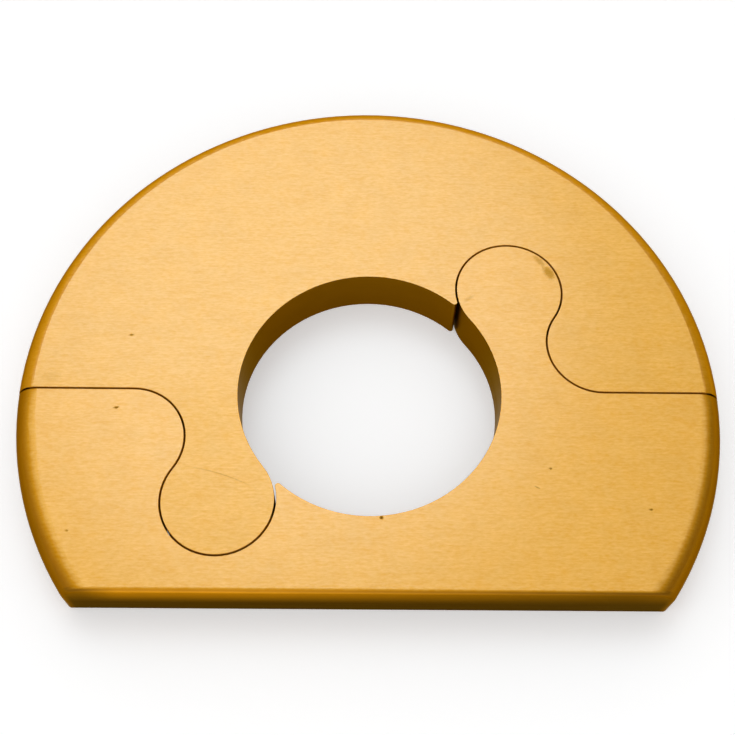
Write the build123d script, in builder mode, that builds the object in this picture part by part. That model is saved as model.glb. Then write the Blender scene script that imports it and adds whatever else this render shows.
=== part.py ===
from build123d import *
from math import acos, asin, atan2, degrees, sqrt
import os

# A split pipe rosette: a flat cover disc in two halves that close round a heating pipe.
# Each half has a round knob on one side of the pipe and a socket on the other, and the knob of one
# drops into the socket of the other along the pipe, like two pieces of a jigsaw.
# One half keeps its whole round rim, the other is cut flat to stand against a wall.
# Frame: the origin is on the pipe's axis in the plane of the underside, +Z points out of the floor,
# X runs along the parting line and the flat faces -Y.

# Driving sizes, in millimetres and degrees
pipe_diameter = 22.0
pipe_clearance = 0.15
disc_diameter = 60.0
disc_thickness = 5.0
rim_radius = 2.0
face_cut = 0.05
knob_radius = 4.6
knob_angle = 38.7
shoulder_radius = 4.5
seam_gap = 0.15
tip_radius = 0.25
flat_wall = 2.9
flat_edge_radius = 0.4

quarter_turn = 90
half_turn = 180

# The disc and its bore
disc_radius = disc_diameter / 2
bore_radius = pipe_diameter / 2 + pipe_clearance

# Each half stops half a gap short of the parting line, so that the two never touch
seam_offset = seam_gap / 2
rim_end_x = sqrt(disc_radius**2 - seam_offset**2)
rim_end_angle = degrees(asin(seam_offset / disc_radius))

# The knob's circle touches the bore's, so the bore's wall runs on into the knob without a corner
socket_radius = knob_radius + seam_gap
knob_distance = bore_radius + knob_radius
knob = Vector(knob_distance, 0).rotate(Axis.Z, knob_angle)

# The shoulder rolls from the straight parting line onto the knob, tangent to both
hollow_radius = shoulder_radius + seam_gap
shoulder_y = seam_offset + shoulder_radius
shoulder_x = knob.X + sqrt((hollow_radius + knob_radius) ** 2 - (knob.Y - shoulder_y) ** 2)
shoulder = Vector(shoulder_x, shoulder_y)
neck_angle = degrees(atan2(shoulder.Y - knob.Y, shoulder.X - knob.X))

# The horn between the bore and the socket ends in a small round that touches both of them
tip_distance = bore_radius + tip_radius
tip_to_knob = socket_radius + tip_radius
tip_turn_cosine = (tip_distance**2 + knob_distance**2 - tip_to_knob**2) / (2 * tip_distance * knob_distance)
tip_angle = knob_angle + degrees(acos(tip_turn_cosine))
tip = Vector(tip_distance, 0).rotate(Axis.Z, tip_angle)
socket_angle = degrees(atan2(knob.Y - tip.Y, knob.X - tip.X))

# The flat leaves its own wall of metal in front of the socket
flat_distance = knob.Y + socket_radius + flat_wall

os.makedirs("parts", exist_ok=True)

# Plan of one half, walked with the metal on the left hand. The other half is the same plan turned
# half a turn about the pipe, before its flat is cut.
with BuildSketch() as half_plan:
    with BuildLine():
        # Round the rim and in along the parting line
        CenterArc((0, 0), disc_radius, rim_end_angle, half_turn - 2 * rim_end_angle)
        Line((-rim_end_x, seam_offset), (-shoulder_x, seam_offset))
        # Down the hollow, round the knob and back along the bore
        CenterArc(-shoulder, hollow_radius, quarter_turn, neck_angle - quarter_turn)
        CenterArc(-knob, knob_radius, neck_angle + half_turn, knob_angle - neck_angle + half_turn)
        CenterArc((0, 0), bore_radius, knob_angle + half_turn, tip_angle - knob_angle - half_turn)
        # Round the horn's tip, through the socket and down the shoulder to the parting line
        CenterArc(tip, tip_radius, tip_angle - half_turn, socket_angle - tip_angle + half_turn)
        CenterArc(knob, socket_radius, socket_angle + half_turn, neck_angle - socket_angle - half_turn)
        CenterArc(shoulder, shoulder_radius, neck_angle + half_turn, quarter_turn - neck_angle)
        Line((shoulder_x, seam_offset), (rim_end_x, seam_offset))
    make_face()

# The half that keeps its round rim. Its face is brushed down a little after the rim is rounded,
# which leaves a fine crease between the two.
with BuildPart() as round_half:
    add(half_plan.sketch)
    extrude(amount=disc_thickness + face_cut)
    top_arcs = round_half.edges().filter_by(GeomType.CIRCLE).group_by(Axis.Z)[-1]
    fillet(top_arcs.sort_by(SortBy.RADIUS)[-1], rim_radius)
    split(bisect_by=Plane.XY.offset(disc_thickness), keep=Keep.BOTTOM)
round_half.part.label = "round_half"
export_step(round_half.part, "parts/round_half.step")

# The half that is cut flat, square through its rim, with a fine round along the cut's upper edge.
# Its rim runs into the face without a crease.
with BuildPart() as flat_half:
    with BuildSketch():
        add(half_plan.sketch, rotation=half_turn)
    extrude(amount=disc_thickness)
    top_arcs = flat_half.edges().filter_by(GeomType.CIRCLE).group_by(Axis.Z)[-1]
    fillet(top_arcs.sort_by(SortBy.RADIUS)[-1], rim_radius)
    split(bisect_by=Plane(origin=(0, -flat_distance, 0), z_dir=(0, 1, 0)), keep=Keep.TOP)
    flat_face = flat_half.faces().filter_by(Axis.Y).sort_by(Axis.Y)[0]
    upper_edges = flat_face.edges().filter_by(Axis.Z, reverse=True).sort_by(Axis.Z)[1:]
    fillet(upper_edges, flat_edge_radius)
flat_half.part.label = "flat_half"
export_step(flat_half.part, "parts/flat_half.step")

for piece in (round_half.part, flat_half.part):
    print(piece.label, "volume", round(piece.volume, 1), "mm3, box", piece.bounding_box().size)
print("flat", round(flat_distance, 4), "mm from the pipe's axis, bore radius", round(bore_radius, 3))
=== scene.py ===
# %% [markdown]
# A pipe rosette is the flat ring that hides the rough hole where a heating pipe leaves the floor or the
# wall. This one is split, so that it goes round a pipe that is already fitted: two halves of aluminium
# close like a jigsaw, and one of them is cut straight to stand against a wall. The solids come from the
# CAD model as a fixed frame, in metres, with the pipe's axis on Z and the underside at Z = 0. This
# script gives them broken edges, a brushed and anodised finish, a floor, light and a camera.

# %% Load the solids as the frame
import bpy
import math
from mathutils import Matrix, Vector


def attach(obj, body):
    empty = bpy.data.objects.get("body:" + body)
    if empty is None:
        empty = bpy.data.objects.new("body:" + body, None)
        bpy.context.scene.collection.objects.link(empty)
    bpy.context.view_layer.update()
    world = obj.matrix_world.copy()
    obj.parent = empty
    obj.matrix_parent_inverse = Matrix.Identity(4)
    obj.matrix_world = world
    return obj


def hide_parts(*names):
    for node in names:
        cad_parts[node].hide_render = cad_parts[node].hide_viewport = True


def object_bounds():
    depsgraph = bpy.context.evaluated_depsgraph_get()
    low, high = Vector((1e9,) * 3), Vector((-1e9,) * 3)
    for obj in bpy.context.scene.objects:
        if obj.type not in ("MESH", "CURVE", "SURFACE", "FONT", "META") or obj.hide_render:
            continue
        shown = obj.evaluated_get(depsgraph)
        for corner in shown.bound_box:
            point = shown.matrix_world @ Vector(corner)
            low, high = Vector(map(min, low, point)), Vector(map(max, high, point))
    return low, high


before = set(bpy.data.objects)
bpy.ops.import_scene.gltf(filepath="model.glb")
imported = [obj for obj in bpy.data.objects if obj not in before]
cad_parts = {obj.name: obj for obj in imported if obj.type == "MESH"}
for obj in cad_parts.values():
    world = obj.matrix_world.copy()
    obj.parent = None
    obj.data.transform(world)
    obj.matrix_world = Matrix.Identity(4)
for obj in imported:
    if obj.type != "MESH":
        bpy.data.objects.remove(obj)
cad_low, cad_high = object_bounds()
MM = 0.001


def in_mm(vector):
    return [round(v / MM, 3) for v in vector]


print("CAD box in mm:", in_mm(cad_low), in_mm(cad_high))

# %% [markdown]
# The camera comes first, because every later choice is judged through it. The photograph was taken from
# about ten centimetres, high above the straight side. A camera can be aimed with an empty and a Track To
# constraint, but here the place and the angles were worked out from the outline, the bore and the seams,
# so they are typed in as they are. The lens is for a sensor 36 mm wide and a square picture.

# %% Camera at the photograph's angle
CAMERA_PLACE_MM = (-1.287, -42.512, 95.679)
CAMERA_TURN_DEG = (26.220, -0.787, 0.187)
CAMERA_LENS_MM = 57.96
SENSOR_WIDTH_MM = 36
CAMERA_NEAREST_MM = 5

bpy.ops.object.select_all(action="DESELECT")
bpy.ops.object.camera_add(
    location=Vector(CAMERA_PLACE_MM) * MM,
    rotation=[math.radians(turn) for turn in CAMERA_TURN_DEG],
)
camera = bpy.context.object
camera.name = "photo_camera"
camera.data.sensor_width = SENSOR_WIDTH_MM
camera.data.lens = CAMERA_LENS_MM
camera.data.clip_start = CAMERA_NEAREST_MM * MM
bpy.context.scene.camera = camera
print("camera", round(camera.location.length / MM, 1), "mm from the origin")

# %% [markdown]
# Two small tools are needed before any modelling. An operator acts on all that is selected, so a piece is
# always selected alone first. And a modifier is only a recipe until it is applied, which makes its result
# part of the mesh. Both are what the mouse does in the window, written down once.

# %% Tools for selecting a piece and applying a modifier
def select_only(piece):
    """Deselect everything else, because an operator acts on all that is selected."""
    bpy.ops.object.select_all(action="DESELECT")
    piece.select_set(True)
    bpy.context.view_layer.objects.active = piece


def apply_modifier(piece, kind, **settings):
    """Add a modifier with its settings and make its result part of the mesh."""
    modifier = piece.modifiers.new(kind.lower(), kind)
    for name, value in settings.items():
        setattr(modifier, name, value)
    bpy.ops.object.modifier_apply(modifier=modifier.name)


print("nodes to finish:", sorted(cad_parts))

# %% [markdown]
# The real halves leave the mill with keen edges, which are then broken with a file so that they don't
# cut. In CAD these edges are perfectly sharp, and a perfectly sharp edge never catches light. So each half
# gets a finished copy: the loose triangles of the import are merged, flat regions become single faces
# again, and a Bevel modifier breaks every edge that turns by more than 40 degrees. Modelling the halves
# anew would also work, but a copy keeps every size that the CAD model has.

# %% Copy each half and break its edges
EDGE_BREAK_MM = 0.04
EDGE_BREAK_SEGMENTS = 2
SHARP_ANGLE = math.radians(40)
FLAT_ANGLE = math.radians(0.3)
MERGE_MM = 0.001


def finished_copy(node_name):
    """A copy of a CAD half with whole faces and broken edges."""
    piece = bpy.data.objects.new(node_name + "_finished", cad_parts[node_name].data.copy())
    bpy.context.scene.collection.objects.link(piece)
    select_only(piece)
    bpy.ops.mesh.customdata_custom_splitnormals_clear()
    bpy.ops.object.mode_set(mode="EDIT")
    bpy.ops.mesh.select_all(action="SELECT")
    bpy.ops.mesh.remove_doubles(threshold=MERGE_MM * MM)
    bpy.ops.mesh.dissolve_limited(angle_limit=FLAT_ANGLE)
    bpy.ops.object.mode_set(mode="OBJECT")
    apply_modifier(
        piece,
        "BEVEL",
        width=EDGE_BREAK_MM * MM,
        segments=EDGE_BREAK_SEGMENTS,
        limit_method="ANGLE",
        angle_limit=SHARP_ANGLE,
    )
    return piece


flat_half = finished_copy("flat_half")
round_half = finished_copy("round_half")
for piece in (flat_half, round_half):
    print(piece.name, len(piece.data.vertices), "vertices,", len(piece.data.polygons), "faces")

# %% [markdown]
# Shading decides whether the rim looks turned or faceted. Smooth by angle joins the small facets of the
# rim, the bore and the knobs. A Weighted Normal modifier then lets the large flat faces keep their own
# direction, so the rounding runs out into the face without a false gradient. On the round half the face
# was brushed down after the rim was rounded, and that leaves a fine crease, which is marked sharp first.

# %% Smooth the round surfaces and keep the crease
SMOOTH_ANGLE = math.radians(35)
CREASE_FROM_MM = 27.5
NORMAL_WEIGHT = 50
thickness = cad_high.z


def on_crease(edge, mesh):
    """True for an edge of the upper face that runs along the rim."""
    ends = [mesh.vertices[i].co for i in edge.vertices]
    on_top = all(abs(end.z - thickness) < MERGE_MM * MM for end in ends)
    outside = all(end.xy.length > CREASE_FROM_MM * MM for end in ends)
    return on_top and outside and abs(ends[0].xy.length - ends[1].xy.length) < MERGE_MM * MM


for piece in (flat_half, round_half):
    select_only(piece)
    bpy.ops.object.shade_smooth_by_angle(angle=SMOOTH_ANGLE)
crease_edges = [edge for edge in round_half.data.edges if on_crease(edge, round_half.data)]
for edge in crease_edges:
    edge.use_edge_sharp = True
for piece in (flat_half, round_half):
    select_only(piece)
    apply_modifier(piece, "WEIGHTED_NORMAL", mode="FACE_AREA", weight=NORMAL_WEIGHT, keep_sharp=True)
print(len(crease_edges), "crease edges on the round half")

# %% [markdown]
# Each finished half stands for its CAD solid and rides on the same body.
# The solids stay in the model for the collisions, but only the finished halves are shown.

# %% Let the finished halves stand for the solids
for piece, node_name in ((flat_half, "flat_half"), (round_half, "round_half")):
    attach(piece, node_name)
    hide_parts(node_name)
    print(piece.name, "rides on", node_name)

# %% [markdown]
# The finish is built from shader nodes, and nodes made in code need many lines each: add the node, set its
# options, fill its sockets. One helper does all three. A second one starts a node group, which is a small
# tree with named inputs and outputs that both halves' materials can use with their own values.

# %% Tools for nodes and node groups
def add_node(tree, kind, sockets=None, **settings):
    """Add a shader node, set its options, and fill its input sockets with values or with links."""
    made = tree.nodes.new("ShaderNode" + kind)
    for option, value in settings.items():
        setattr(made, option, value)
    for socket, value in (sockets or {}).items():
        if isinstance(value, bpy.types.NodeSocket):
            tree.links.new(value, made.inputs[socket])
        else:
            made.inputs[socket].default_value = value
    return made


def new_group(name, inputs, outputs):
    """A shader node group with named sockets, given as name and kind."""
    group = bpy.data.node_groups.new(name, "ShaderNodeTree")
    for socket, kind in inputs.items():
        group.interface.new_socket(socket, in_out="INPUT", socket_type="NodeSocket" + kind)
    for socket, kind in outputs.items():
        group.interface.new_socket(socket, in_out="OUTPUT", socket_type="NodeSocket" + kind)
    return group, group.nodes.new("NodeGroupInput"), group.nodes.new("NodeGroupOutput")


print("materials before the finish:", len(bpy.data.materials))

# %% [markdown]
# Brushing drags an abrasive pad along the plate and leaves thousands of short strokes, all one way. A
# noise texture that is stretched along the stroke gives the same look at any size, without an image. It
# is a node group, because the face needs it with strokes along X and the sides, which are milled, need it
# with long fine lines round the piece. The coordinates are the object's own, in metres.

# %% The strokes of brush and cutter
STROKE_DETAIL = 3.0
STROKE_ROUGHNESS = 0.6
STROKE_LOW = 0.32
STROKE_HIGH = 0.68

strokes, given, result = new_group(
    "strokes", {"Coordinates": "Vector", "Stroke Size": "Vector"}, {"Strokes": "Float"}
)
stretched = add_node(
    strokes,
    "VectorMath",
    {0: given.outputs["Coordinates"], 1: given.outputs["Stroke Size"]},
    operation="DIVIDE",
)
stroke_sockets = {"Scale": 1.0, "Detail": STROKE_DETAIL, "Roughness": STROKE_ROUGHNESS}
stroke_noise = add_node(strokes, "TexNoise", {"Vector": stretched.outputs[0], **stroke_sockets})
stroke_level = add_node(
    strokes,
    "MapRange",
    {"Value": stroke_noise.outputs["Fac"], "From Min": STROKE_LOW, "From Max": STROKE_HIGH},
)
strokes.links.new(stroke_level.outputs["Result"], result.inputs["Strokes"])
print("group", strokes.name, "with", len(strokes.nodes), "nodes")

# %% [markdown]
# A part that has been handled carries small marks: dark flecks where the film is nicked, a dent on a
# knob, a hair of a scratch. They could be painted on an image, but then they would blur in a close view.
# Here each mark is a small ellipse, placed in millimetres on the face, and a scratch is the same thing
# made long, thin and a little bent. First comes the distance from the mark's middle, as a share of its
# own length and width, so that 1 is always its outline.

# %% One mark: how far a point is from its middle
marking, given, result = new_group(
    "face_mark",
    {
        "Coordinates": "Vector",
        "Place": "Vector",
        "Half Length": "Float",
        "Half Width": "Float",
        "Turn": "Float",
        "Bend": "Float",
    },
    {"Mask": "Float"},
)


def marking_sum(operation, first, second):
    """A sum on two values inside the mark's group."""
    return add_node(marking, "Math", {0: first, 1: second}, operation=operation).outputs[0]


from_place = add_node(
    marking,
    "VectorMath",
    {0: given.outputs["Coordinates"], 1: given.outputs["Place"]},
    operation="SUBTRACT",
)
turned = add_node(
    marking,
    "VectorRotate",
    {"Vector": from_place.outputs[0], "Angle": given.outputs["Turn"]},
    rotation_type="Z_AXIS",
    invert=True,
)
parts = add_node(marking, "SeparateXYZ", {0: turned.outputs[0]})
along = marking_sum("DIVIDE", parts.outputs["X"], given.outputs["Half Length"])
bent = marking_sum("MULTIPLY", marking_sum("MULTIPLY", along, along), given.outputs["Bend"])
off_line = marking_sum("SUBTRACT", parts.outputs["Y"], bent)
across = marking_sum("DIVIDE", off_line, given.outputs["Half Width"])
in_ellipse = add_node(marking, "CombineXYZ", {"X": along, "Y": across})
reach = add_node(marking, "VectorMath", {0: in_ellipse.outputs[0]}, operation="LENGTH").outputs["Value"]
print("group", marking.name, "has", len(marking.nodes), "nodes so far")

# %% [markdown]
# A true ellipse would look printed. So a fine noise is added to the distance, which makes the outline
# ragged, and a soft step turns the distance into a mask that is 1 inside the mark and 0 outside.

# %% One mark: its ragged outline
RAGGED_MM = 0.12
RAGGED_DETAIL = 1.0
RAGGED_AMOUNT = 0.9
MARK_OUTSIDE = 1.4
MARK_INSIDE = 0.7

ragged_sockets = {"Scale": 1 / (RAGGED_MM * MM), "Detail": RAGGED_DETAIL}
ragged = add_node(marking, "TexNoise", {"Vector": given.outputs["Coordinates"], **ragged_sockets})
ragged_reach = marking_sum("ADD", marking_sum("MULTIPLY", ragged.outputs["Fac"], RAGGED_AMOUNT), reach)
mark_edge = add_node(
    marking,
    "MapRange",
    {"Value": ragged_reach, "From Min": MARK_OUTSIDE, "From Max": MARK_INSIDE},
    interpolation_type="SMOOTHSTEP",
)
marking.links.new(mark_edge.outputs["Result"], result.inputs["Mask"])
print("group", marking.name, "with", len(marking.nodes), "nodes")

# %% [markdown]
# A procedural finish is mostly mixing: this colour here, that one there, and a soft step between them.
# Five helpers say that in words. `mixed` is the Mix node, `between` a soft step, `between_mm` the same
# between two lengths, `product` joins two masks, and `tinted` makes a colour darker or lighter where a
# pattern is low or high. The Mix node keeps its sockets for values and for colours side by side, so the
# first helper picks them by number: the two inputs and the output.

# %% Tools that mix values and colours
MIX_SOCKETS = {"FLOAT": (2, 3, 0), "RGBA": (6, 7, 2)}


def mixed(tree, amount, first, second, kind="FLOAT"):
    """A mix of two values, or of two colours where the kind is RGBA."""
    first_socket, second_socket, output = MIX_SOCKETS[kind]
    sockets = {0: amount, first_socket: first, second_socket: second}
    return add_node(tree, "Mix", sockets, data_type=kind).outputs[output]


def between(tree, value, start, end):
    """0 at the start, 1 at the end and a soft step between them."""
    step = add_node(
        tree,
        "MapRange",
        {"Value": value, "From Min": start, "From Max": end},
        interpolation_type="SMOOTHSTEP",
    )
    return step.outputs["Result"]


def between_mm(tree, value, start_mm, end_mm):
    """A soft step between two lengths in millimetres."""
    return between(tree, value, start_mm * MM, end_mm * MM)


def product(tree, first, second):
    """Two values multiplied."""
    return add_node(tree, "Math", {0: first, 1: second}, operation="MULTIPLY").outputs[0]


def tinted(tree, colour, pattern, low, high):
    """A colour scaled by low where the pattern is 0 and by high where it is 1."""
    tone = add_node(tree, "MapRange", {"Value": pattern, "To Min": low, "To Max": high})
    scaled = add_node(tree, "VectorMath", {0: colour, "Scale": tone.outputs["Result"]}, operation="SCALE")
    return scaled.outputs[0]


print("mixing tools ready, materials so far:", len(bpy.data.materials))

# %% [markdown]
# Anodising grows a hard clear film on aluminium, and a gold dye in its pores tints the metal under it.
# The face is brushed and the rim is smooth, and the eye sees where one runs out into the other. The normal
# knows that: it looks straight up on the face and tilts over the rim. This group turns the tilt into a
# mask, with the place and the speed of the change as inputs, because the halves differ: one has a crease
# there and the other fades softly. The fade passes through a warm band, where the colour is made redder.

# %% Tell the face from the rim
RIM_STARTS = 0.62
WARM_STARTS = (0.74, 0.84)
WARM_ENDS = (0.995, 0.96)

tilt, given, result = new_group(
    "face_and_rim",
    {"Normal": "Vector", "Rim Ends": "Float", "Rim Fade": "Float"},
    {"Level": "Float", "On Face": "Float", "Warm Band": "Float"},
)
looks = add_node(tilt, "SeparateXYZ", {0: given.outputs["Normal"]})
level = add_node(tilt, "Math", {0: looks.outputs["Z"]}, operation="ABSOLUTE").outputs[0]
near_face = add_node(
    tilt, "MapRange", {"Value": level, "From Min": RIM_STARTS, "From Max": given.outputs["Rim Ends"]}
)
on_face = add_node(
    tilt, "Math", {0: near_face.outputs["Result"], 1: given.outputs["Rim Fade"]}, operation="POWER"
)
warm_band = product(tilt, between(tilt, level, *WARM_STARTS), between(tilt, level, *WARM_ENDS))
tilt.links.new(level, result.inputs["Level"])
tilt.links.new(on_face.outputs[0], result.inputs["On Face"])
tilt.links.new(warm_band, result.inputs["Warm Band"])
print("group", tilt.name, "with", len(tilt.nodes), "nodes")

# %% [markdown]
# The smooth sides look much deeper than the face. Part of that is the dye, which shows its full strength
# on metal that isn't brushed, and part is the dark room that smooth metal mirrors. A pale studio has no
# dark room, so that part is painted into the sides' colour as painted shade. The rim is painted darkest
# low down and lighter near the face. The walls inside the seam are matt from the cutter, which leaves the
# parting line brown and not black. The bore is darker still, painted shade for the hollow. The distance
# from the pipe's axis tells them apart.

# %% Rim, seam and bore, with painted shade on rim and bore
# The bore colour and the rim's tint by tilt are painted shade, for the hollow and a mirrored dark room.
BORE_WALL_PAINTED_SHADE = (0.185, 0.080, 0.006, 1)
BORE_ZONE_MM = (14.0, 12.5)
SEAM_WALL = (0.70, 0.36, 0.035, 1)
RIM_ZONE_MM = (29.0, 28.6)
UPRIGHT = (0.5, 0.2)
RIM_PAINTED_SHADE_LEVELS = (0.5, 0.88)
RIM_PAINTED_SHADE = 0.86
RIM_PAINTED_LIGHT = 1.16

walls, given, result = new_group(
    "milled_walls_painted_shade",
    {"Coordinates": "Vector", "Level": "Float", "Rim Colour With Painted Shade": "Color"},
    {"Colour": "Color", "In Seam": "Float"},
)
where = add_node(walls, "SeparateXYZ", {0: given.outputs["Coordinates"]})
in_plan = add_node(walls, "CombineXYZ", {"X": where.outputs["X"], "Y": where.outputs["Y"]})
radius = add_node(walls, "VectorMath", {0: in_plan.outputs[0]}, operation="LENGTH").outputs["Value"]
in_bore = between_mm(walls, radius, *BORE_ZONE_MM)
off_rim = between_mm(walls, radius, *RIM_ZONE_MM)
upright = between(walls, given.outputs["Level"], *UPRIGHT)
in_seam = mixed(walls, in_bore, product(walls, off_rim, upright), 0.0)
# Painted shade: the rim gets darker where it tilts over and lighter near the face.
rim_level = between(walls, given.outputs["Level"], *RIM_PAINTED_SHADE_LEVELS)
rim = tinted(walls, given.outputs["Rim Colour With Painted Shade"], rim_level, RIM_PAINTED_SHADE, RIM_PAINTED_LIGHT)
wall = mixed(walls, in_bore, mixed(walls, in_seam, rim, SEAM_WALL, "RGBA"), BORE_WALL_PAINTED_SHADE, "RGBA")
walls.links.new(wall, result.inputs["Colour"])
walls.links.new(in_seam, result.inputs["In Seam"])
print("group", walls.name, "with", len(walls.nodes), "nodes")

# %% [markdown]
# The straight cut stands upright and mirrors what lies in front of it, so it falls from gold along its
# upper edge to a deep brown at its foot, and from left to right it gets deeper too. One colour can't say
# that, so this reflection is painted into the colour. The group mixes a painted shade at the foot and a
# painted reflection at the top by height, lets the top fall towards the right and towards both corners,
# where the cut meets the rim, and lightens the round of its upper edge as a painted highlight.

# %% The straight cut's painted reflection and shade
# Painted reflection along the top of the cut, painted shade at its foot, its corners and its right end.
CUT_TOP_PAINTED_REFLECTION = (0.54, 0.232, 0.014)
CUT_CORNER_PAINTED_SHADE = (0.24, 0.10, 0.006, 1)
CUT_FOOT_PAINTED_SHADE = (0.050, 0.021, 0.0015, 1)
CUT_HEIGHT_MM = (1.7, 4.9)
CUT_CORNER_MM = (23.4, 19.5)
CUT_ACROSS_MM = (-10, 22)
CUT_ACROSS_PAINTED_SHADE = (1.2, 0.36)
CUT_EDGE_LEVEL = (0.1, 0.6)
CUT_EDGE_PAINTED_HIGHLIGHT = (0.96, 1.08)

cut, given, result = new_group(
    "straight_cut_painted_reflection",
    {"Coordinates": "Vector", "Normal": "Vector", "Level": "Float"},
    {"Colour": "Color", "On Cut": "Float"},
)
where = add_node(cut, "SeparateXYZ", {0: given.outputs["Coordinates"]})
sideways = add_node(cut, "Math", {0: where.outputs["X"]}, operation="ABSOLUTE").outputs[0]
to_right = add_node(
    cut,
    "MapRange",
    {"Value": where.outputs["X"], "From Min": CUT_ACROSS_MM[0] * MM, "From Max": CUT_ACROSS_MM[1] * MM},
)
# Painted shade towards the right, a painted highlight on the upper round, painted shade at the corners.
top = tinted(cut, CUT_TOP_PAINTED_REFLECTION, to_right.outputs["Result"], *CUT_ACROSS_PAINTED_SHADE)
top = tinted(cut, top, between(cut, given.outputs["Level"], *CUT_EDGE_LEVEL), *CUT_EDGE_PAINTED_HIGHLIGHT)
off_corner = between_mm(cut, sideways, *CUT_CORNER_MM)
top = mixed(cut, off_corner, CUT_CORNER_PAINTED_SHADE, top, "RGBA")
height = between_mm(cut, where.outputs["Z"], *CUT_HEIGHT_MM)
cut.links.new(mixed(cut, height, CUT_FOOT_PAINTED_SHADE, top, "RGBA"), result.inputs["Colour"])
print("group", cut.name, "has", len(cut.nodes), "nodes so far")

# %% [markdown]
# The same group also says where the cut is. It looks towards -Y, and it lies at the very edge of the
# model on that side, so the normal and the place together find it. A face set in edit mode could carry a
# second material instead, but then the fine round along its upper edge would show a hard line.

# %% Where the straight cut is
CUT_FACING = (-0.10, -0.45)
CUT_INSIDE = 0.976
CUT_ENDS_MM = (24.3, 23.7)

looks = add_node(cut, "SeparateXYZ", {0: given.outputs["Normal"]})
facing = between(cut, looks.outputs["Y"], *CUT_FACING)
outside = add_node(
    cut, "Math", {0: where.outputs["Y"], 1: CUT_INSIDE * cad_low.y}, operation="LESS_THAN"
).outputs[0]
inside_ends = between_mm(cut, sideways, *CUT_ENDS_MM)
on_cut = product(cut, product(cut, facing, outside), inside_ends)
cut.links.new(on_cut, result.inputs["On Cut"])
print("group", cut.name, "with", len(cut.nodes), "nodes")

# %% [markdown]
# Now the groups come together in a material. The first step reads the surface once: where the point is,
# how it is tilted, the brush's short and long strokes, the cutter's lines on the sides, and faint clouds,
# because a dye bath never tints quite evenly. The later steps only mix what is read here.

# %% Read the surface
FACE_STROKE_MM = (0.50, 0.17, 0.6)
LONG_STROKE_MM = (3.0, 0.16, 0.6)
LONG_SHARE = 0.3
CUTTER_LINE_MM = (7.0, 7.0, 0.12)
CLOUD_MM = 2.4
CLOUD_DETAIL = 2.0


def grain(tree, coordinates, stroke_mm):
    """The strokes group at a stroke size."""
    sockets = {"Coordinates": coordinates, "Stroke Size": Vector(stroke_mm) * MM}
    return add_node(tree, "Group", sockets, node_tree=strokes).outputs["Strokes"]


def read_surface(tree, rim_ends, rim_fade):
    """The place, the tilt and the patterns of a point of the surface, by name."""
    place = add_node(tree, "TexCoord")
    at, normal = place.outputs["Object"], place.outputs["Normal"]
    tilt_sockets = {"Normal": normal, "Rim Ends": rim_ends, "Rim Fade": rim_fade}
    tilted = add_node(tree, "Group", tilt_sockets, node_tree=tilt)
    short, long = grain(tree, at, FACE_STROKE_MM), grain(tree, at, LONG_STROKE_MM)
    cloud_sockets = {"Vector": at, "Scale": 1 / (CLOUD_MM * MM), "Detail": CLOUD_DETAIL}
    clouds = add_node(tree, "TexNoise", cloud_sockets)
    return {
        "at": at,
        "normal": normal,
        "level": tilted.outputs["Level"],
        "on_face": tilted.outputs["On Face"],
        "warm_band": tilted.outputs["Warm Band"],
        "brushed": mixed(tree, LONG_SHARE, short, long),
        "cutter": grain(tree, at, CUTTER_LINE_MM),
        "clouds": clouds.outputs["Fac"],
    }


print("strokes of", FACE_STROKE_MM[0], "and", LONG_STROKE_MM[0], "mm, clouds of", CLOUD_MM, "mm")

# %% [markdown]
# The colour of the face comes from its strokes: a deep gold in the grooves and a pale one on the ridges.
# Strokes that only got lighter and darker would look grey, so two colours are mixed. The sides take theirs
# from the groups above, with the cutter's lines and the clouds laid over, and the tilt mixes face and side.

# %% Colour of face and sides
FACE_CLOUDS = (0.95, 1.05)
SIDE_LINES = (0.94, 1.06)
SIDE_CLOUDS = (0.92, 1.08)
WHITE = (1, 1, 1, 1)
WARM_FADE = (1.0, 0.92, 0.72, 1)


def gold_colour(tree, surface, deep, pale, rim_colour_with_painted_shade):
    """The colour all over a half, and the mask of its seam walls."""
    face = mixed(tree, surface["brushed"], deep, pale, "RGBA")
    face = tinted(tree, face, surface["clouds"], *FACE_CLOUDS)
    here = {"Coordinates": surface["at"], "Level": surface["level"]}
    wall = add_node(tree, "Group", {**here, "Rim Colour With Painted Shade": rim_colour_with_painted_shade}, node_tree=walls)
    front = add_node(tree, "Group", {**here, "Normal": surface["normal"]}, node_tree=cut)
    on_cut = front.outputs["On Cut"]
    side = mixed(tree, on_cut, wall.outputs["Colour"], front.outputs["Colour"], "RGBA")
    side = tinted(tree, side, surface["cutter"], *SIDE_LINES)
    side = tinted(tree, side, surface["clouds"], *SIDE_CLOUDS)
    colour = mixed(tree, surface["on_face"], side, face, "RGBA")
    warm = mixed(tree, surface["warm_band"], WHITE, WARM_FADE, "RGBA")
    colour = add_node(tree, "VectorMath", {0: colour, 1: warm}, operation="MULTIPLY").outputs[0]
    return colour, mixed(tree, on_cut, wall.outputs["In Seam"], 0.0)


print("face clouds", FACE_CLOUDS, "side lines", SIDE_LINES)

# %% [markdown]
# The marks are laid over the colour one by one, and the deepest one wins where two meet. They lie only on
# the face, so the mask is multiplied with the face's own mask.

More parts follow.
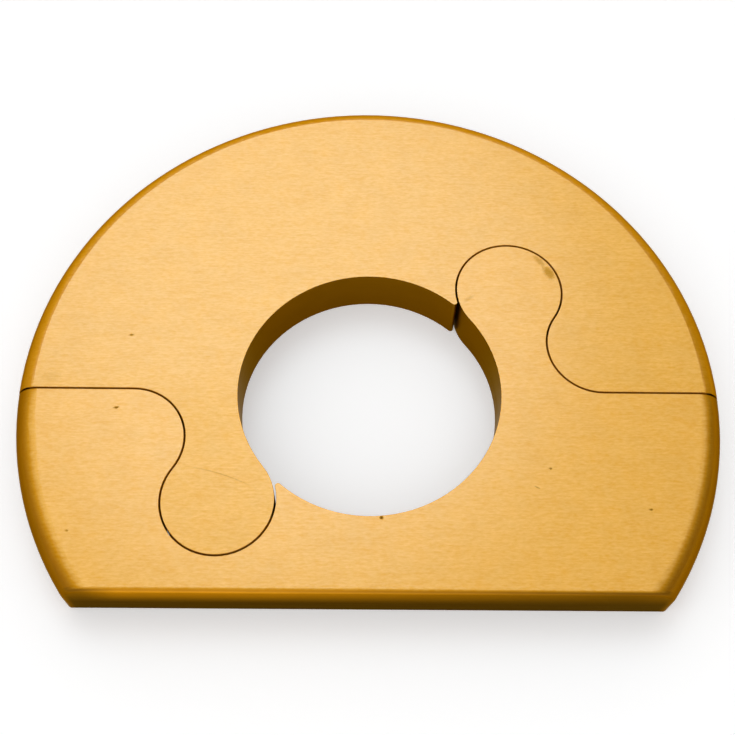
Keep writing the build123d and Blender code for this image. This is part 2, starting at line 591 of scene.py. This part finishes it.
# %% Lay marks on the face
def marks_mask(tree, surface, marks):
    """How deep the marks are at a point, from 0 for none to 1."""
    marked = 0.0
    for mark in marks:
        sockets = {
            "Coordinates": surface["at"],
            "Place": (mark["x"] * MM, mark["y"] * MM, thickness),
            "Half Length": mark["length"] / 2 * MM,
            "Half Width": mark["width"] / 2 * MM,
            "Turn": math.radians(mark.get("turn", 0)),
            "Bend": mark.get("bend", 0) * MM,
        }
        spot = add_node(tree, "Group", sockets, node_tree=marking)
        depth = product(tree, spot.outputs["Mask"], mark["depth"])
        marked = add_node(tree, "Math", {0: marked, 1: depth}, operation="MAXIMUM").outputs[0]
    return product(tree, marked, surface["on_face"])


print("marks lie at a height of", round(thickness / MM, 2), "mm")

# %% [markdown]
# The hard clear film lies over the brushed face like a varnish, and the shader's coat is made for that.
# It gives the face its pale satin sheen. It is thinner in the grooves, gone where a mark has cut it, and a
# little weaker on the round half's knob, which looks brushed on its own. The smooth sides mirror
# cleanly without it.

# %% The clear film over the face
FILM_STARTS = 0.7
FILM_GROOVE = 0.60
FILM_GONE = 0.5
KNOB_SIDE_MM = 3.0


def scaled_value(tree, value, pattern, low, high):
    """A value scaled by low where the pattern is 0 and by high where it is 1."""
    tone = add_node(tree, "MapRange", {"Value": pattern, "To Min": low, "To Max": high})
    return product(tree, value, tone.outputs["Result"])


def film_weight(tree, surface, marked, knob_film):
    """How much of the film there is at a point."""
    film = add_node(tree, "MapRange", {"Value": surface["on_face"], "From Min": FILM_STARTS})
    film = scaled_value(tree, film.outputs["Result"], surface["brushed"], FILM_GROOVE, 1.0)
    worn = add_node(tree, "MapRange", {"Value": marked, "From Max": FILM_GONE, "To Min": 1.0, "To Max": 0.0})
    film = product(tree, film, worn.outputs["Result"])
    where = add_node(tree, "SeparateXYZ", {0: surface["at"]})
    knob_side = between_mm(tree, where.outputs["Y"], KNOB_SIDE_MM, -KNOB_SIDE_MM)
    return scaled_value(tree, film, knob_side, 1.0, knob_film)


print("film from", FILM_GROOVE, "in the grooves to 1 on the ridges")

# %% [markdown]
# Last comes the shader. Brushed metal scatters light, so the face is rougher than the sides, the seam is
# roughest, and the strokes and lines change the roughness a little and press a shallow relief into the
# normal. What is the same all over, such as the film's own roughness, is set on the shader's socket.

# %% The gold anodised finish
MARK_COLOUR = (0.19, 0.065, 0.001, 1)
FACE_ROUGHNESS = (0.50, 0.62)
SIDE_ROUGHNESS = (0.30, 0.40)
SEAM_ROUGHNESS = 0.8
RELIEF_STRENGTH = 0.25
RELIEF_MM = 0.004
FILM_IOR = 1.9
FILM_ROUGHNESS = 0.19
GRAZING_TINT = (0.64, 0.50, 0.22, 1)


def anodised(name, deep, pale, rim_colour_with_painted_shade, rim_ends, rim_fade, knob_film, marks):
    """The finish of one half: its colours, how the rim fades into the face, its film and its marks."""
    material = bpy.data.materials.new(name)
    material.use_nodes = True
    tree = material.node_tree
    surface = read_surface(tree, rim_ends, rim_fade)
    on_face, brushed, cutter = surface["on_face"], surface["brushed"], surface["cutter"]
    colour, in_seam = gold_colour(tree, surface, deep, pale, rim_colour_with_painted_shade)
    marked = marks_mask(tree, surface, marks)
    smooth = mixed(tree, in_seam, mixed(tree, cutter, *SIDE_ROUGHNESS), SEAM_ROUGHNESS)
    relief = mixed(tree, on_face, cutter, brushed)
    dented = add_node(tree, "Math", {0: relief, 1: marked}, operation="SUBTRACT").outputs[0]
    relief_sockets = {"Height": dented, "Strength": RELIEF_STRENGTH, "Distance": RELIEF_MM * MM}
    shader = tree.nodes["Principled BSDF"]
    linked = {
        "Base Color": mixed(tree, marked, colour, MARK_COLOUR, "RGBA"),
        "Roughness": mixed(tree, on_face, smooth, mixed(tree, brushed, *FACE_ROUGHNESS)),
        "Normal": add_node(tree, "Bump", relief_sockets).outputs["Normal"],
        "Coat Weight": film_weight(tree, surface, marked, knob_film),
    }
    for socket, value in linked.items():
        tree.links.new(value, shader.inputs[socket])
    shader.inputs["Metallic"].default_value = 1.0
    shader.inputs["Specular Tint"].default_value = GRAZING_TINT
    shader.inputs["Coat Roughness"].default_value = FILM_ROUGHNESS
    shader.inputs["Coat IOR"].default_value = FILM_IOR
    print("finish", name, "with", len(tree.nodes), "nodes and", len(marks), "marks")
    return material


# %% [markdown]
# The two halves were brushed and dyed as separate pieces, and it shows: the round half is a touch deeper
# on its face, and its rim is paler with a crease, while the flat half's rim is dark and fades softly. The
# marks are where the photograph shows them, in millimetres from the pipe's axis.

# %% Finish of the flat half
flat_half_marks = [
    {"x": -21.24, "y": -1.79, "length": 0.7, "width": 0.3, "turn": 8, "depth": 0.8},
    {"x": 14.88, "y": -6.94, "length": 0.35, "width": 0.3, "depth": 0.75},
    {"x": 13.71, "y": -8.61, "length": 0.7, "width": 0.16, "turn": -25, "depth": 0.5},
    {"x": 22.82, "y": -10.43, "length": 0.5, "width": 0.3, "turn": -15, "depth": 0.75},
    {"x": 15.95, "y": 11.75, "length": 2.2, "width": 1.2, "turn": -60, "depth": 0.42},
    {"x": 15.2, "y": 12.9, "length": 2.2, "width": 0.8, "turn": -50, "depth": 0.3},
    {"x": -24.13, "y": -12.57, "length": 0.4, "width": 0.3, "depth": 0.5},
    {"x": 0.98, "y": -11.3, "length": 0.5, "width": 0.4, "depth": 0.9},
    {"x": 8.7, "y": 9.0, "length": 1.6, "width": 0.5, "turn": 35, "depth": 0.18},
]
flat_half_finish = anodised(
    "gold_anodised_flat_half",
    deep=(0.84, 0.39, 0.0, 1),
    pale=(1.0, 0.58, 0.07, 1),
    # The rim colour is the dye with painted shade, for the dark room that a smooth rim would mirror.
    rim_colour_with_painted_shade=(0.282, 0.114, 0.006, 1),
    rim_ends=0.996,
    rim_fade=3.4,
    knob_film=1.0,
    marks=flat_half_marks,
)
flat_half.data.materials.clear()
flat_half.data.materials.append(flat_half_finish)

# %% [markdown]
# The round half takes the same finish with its own values. Its scratch runs along the neck of the knob,
# from the bore's edge down to the left.

# %% Finish of the round half
round_half_marks = [
    {"x": -20.57, "y": 5.08, "length": 0.6, "width": 0.28, "turn": 5, "depth": 0.65},
    {"x": -12.0, "y": -7.7, "length": 7.4, "width": 0.16, "turn": -18, "bend": -0.4, "depth": 0.22},
    {"x": -26.97, "y": 1.04, "length": 2.2, "width": 1.6, "depth": 0.10},
]
round_half_finish = anodised(
    "gold_anodised_round_half",
    deep=(0.82, 0.385, 0.0, 1),
    pale=(0.99, 0.575, 0.068, 1),
    # The rim colour is the dye with painted shade, for the dark room that a smooth rim would mirror.
    rim_colour_with_painted_shade=(0.405, 0.167, 0.008, 1),
    rim_ends=0.968,
    rim_fade=2.4,
    knob_film=0.78,
    marks=round_half_marks,
)
round_half.data.materials.clear()
round_half.data.materials.append(round_half_finish)

# %% [markdown]
# The rosette lies in a light tent: white cloth all round, and one soft panel overhead, a little behind the
# part, that the face mirrors. Area lamps would draw hard-edged panels in the metal, so the tent is the
# world itself: even and pale, and brighter in the panel's direction. The photograph is darker on the right,
# so there the tent dims. The Standard view shows a colour about as it is written.

# %% Light tent
PANEL_DIRECTION = Vector((-0.06, 0.48, 0.87)).normalized()
PANEL_OUTSIDE = math.cos(math.radians(15))
PANEL_INSIDE = math.cos(math.radians(12))
PANEL_COLOUR = (2.28, 2.52, 2.68, 1)
TENT_COLOUR = (0.77, 0.755, 0.745, 1)
RIGHT_SIDE = (0.25, 0.85)
RIGHT_TONE = 0.50

tent = bpy.data.worlds.new("light_tent")
bpy.context.scene.world = tent
tent.use_nodes = True
tent_tree = tent.node_tree
direction = add_node(tent_tree, "TexCoord").outputs["Generated"]
aligned = add_node(tent_tree, "VectorMath", {0: direction, 1: PANEL_DIRECTION}, operation="DOT_PRODUCT")
in_panel = between(tent_tree, aligned.outputs["Value"], PANEL_OUTSIDE, PANEL_INSIDE)
tent_colour = mixed(tent_tree, in_panel, TENT_COLOUR, PANEL_COLOUR, "RGBA")
sides = add_node(tent_tree, "SeparateXYZ", {0: direction})
on_right = between(tent_tree, sides.outputs["X"], *RIGHT_SIDE)
tent_light = tinted(tent_tree, tent_colour, on_right, 1.0, RIGHT_TONE)
tent_tree.links.new(tent_light, tent_tree.nodes["Background"].inputs["Color"])
bpy.context.scene.view_settings.view_transform = "Standard"
print("tent of", TENT_COLOUR[:3], "with a panel of", PANEL_COLOUR[:3])

# %% [markdown]
# The floor is a plain pale board, metres wide, so that no edge of it shows. Far out it sweeps up like the
# paper of a photographer's cove, because a flat floor would end in a horizon when the camera is low. A
# circle is filled with a fan of triangles, and its edge is extruded outwards and upwards three times. With
# one large face instead of the fan, that face would be picked along with its edge and rise as a lid.

# %% Pale floor with a sweep at its edge
FLOOR_SIDES = 96
FLOOR_RADIUS_M = 2.4
SWEEP_M = ((2.7, 0.04), (2.95, 0.15), (3.05, 0.35))

bpy.ops.object.select_all(action="DESELECT")
bpy.ops.mesh.primitive_circle_add(vertices=FLOOR_SIDES, radius=FLOOR_RADIUS_M, fill_type="TRIFAN")
floor = bpy.context.object
floor.name = "pale_floor"
bpy.ops.object.mode_set(mode="EDIT")
bpy.ops.mesh.select_mode(type="EDGE")
bpy.ops.mesh.select_all(action="DESELECT")
bpy.ops.mesh.select_non_manifold()
last_reach, last_rise = FLOOR_RADIUS_M, 0.0
for reach, rise in SWEEP_M:
    bpy.ops.mesh.extrude_region_move(TRANSFORM_OT_translate={"value": (0, 0, rise - last_rise)})
    bpy.ops.transform.resize(value=(reach / last_reach, reach / last_reach, 1))
    last_reach, last_rise = reach, rise
bpy.ops.object.mode_set(mode="OBJECT")
bpy.ops.object.shade_smooth_by_angle(angle=SMOOTH_ANGLE)
print("floor", [round(side, 2) for side in floor.dimensions], "m")

# %% [markdown]
# The board keeps the soft shadow. To look white behind the part without more light on it, it glows a
# little, but only for rays that come from the camera or from a mirror: the Light Path node tells those
# apart. A ray that has already left a matt surface doesn't see the glow either. Without that rule the
# lifted half would mirror the glow down onto the board, as an orange pool of light under it.

# %% Finish of the floor
FLOOR_COLOUR = (0.92, 0.92, 0.92, 1)
FLOOR_ROUGHNESS = 0.9
FLOOR_SHINE = 0.1
FLOOR_GLOW = 0.32
FIRST_MATT_BOUNCE = 1

floor_finish = bpy.data.materials.new("pale_board")
floor_finish.use_nodes = True
floor.data.materials.append(floor_finish)
board = floor_finish.node_tree
floor_shader = board.nodes["Principled BSDF"]
floor_shader.inputs["Base Color"].default_value = FLOOR_COLOUR
floor_shader.inputs["Roughness"].default_value = FLOOR_ROUGHNESS
floor_shader.inputs["Specular IOR Level"].default_value = FLOOR_SHINE
floor_shader.inputs["Emission Color"].default_value = WHITE
seen_by = add_node(board, "LightPath")
seen = seen_by.outputs["Is Camera Ray"]
for ray in ("Is Glossy Ray", "Is Transmission Ray"):
    seen = add_node(board, "Math", {0: seen, 1: seen_by.outputs[ray]}, operation="MAXIMUM").outputs[0]
bounces = {0: seen_by.outputs["Diffuse Depth"], 1: FIRST_MATT_BOUNCE}
straight = add_node(board, "Math", bounces, operation="LESS_THAN").outputs[0]
glow = product(board, product(board, seen, straight), FLOOR_GLOW)
board.links.new(glow, floor_shader.inputs["Emission Strength"])
print("floor glows with", FLOOR_GLOW, "for the camera and for mirrors")
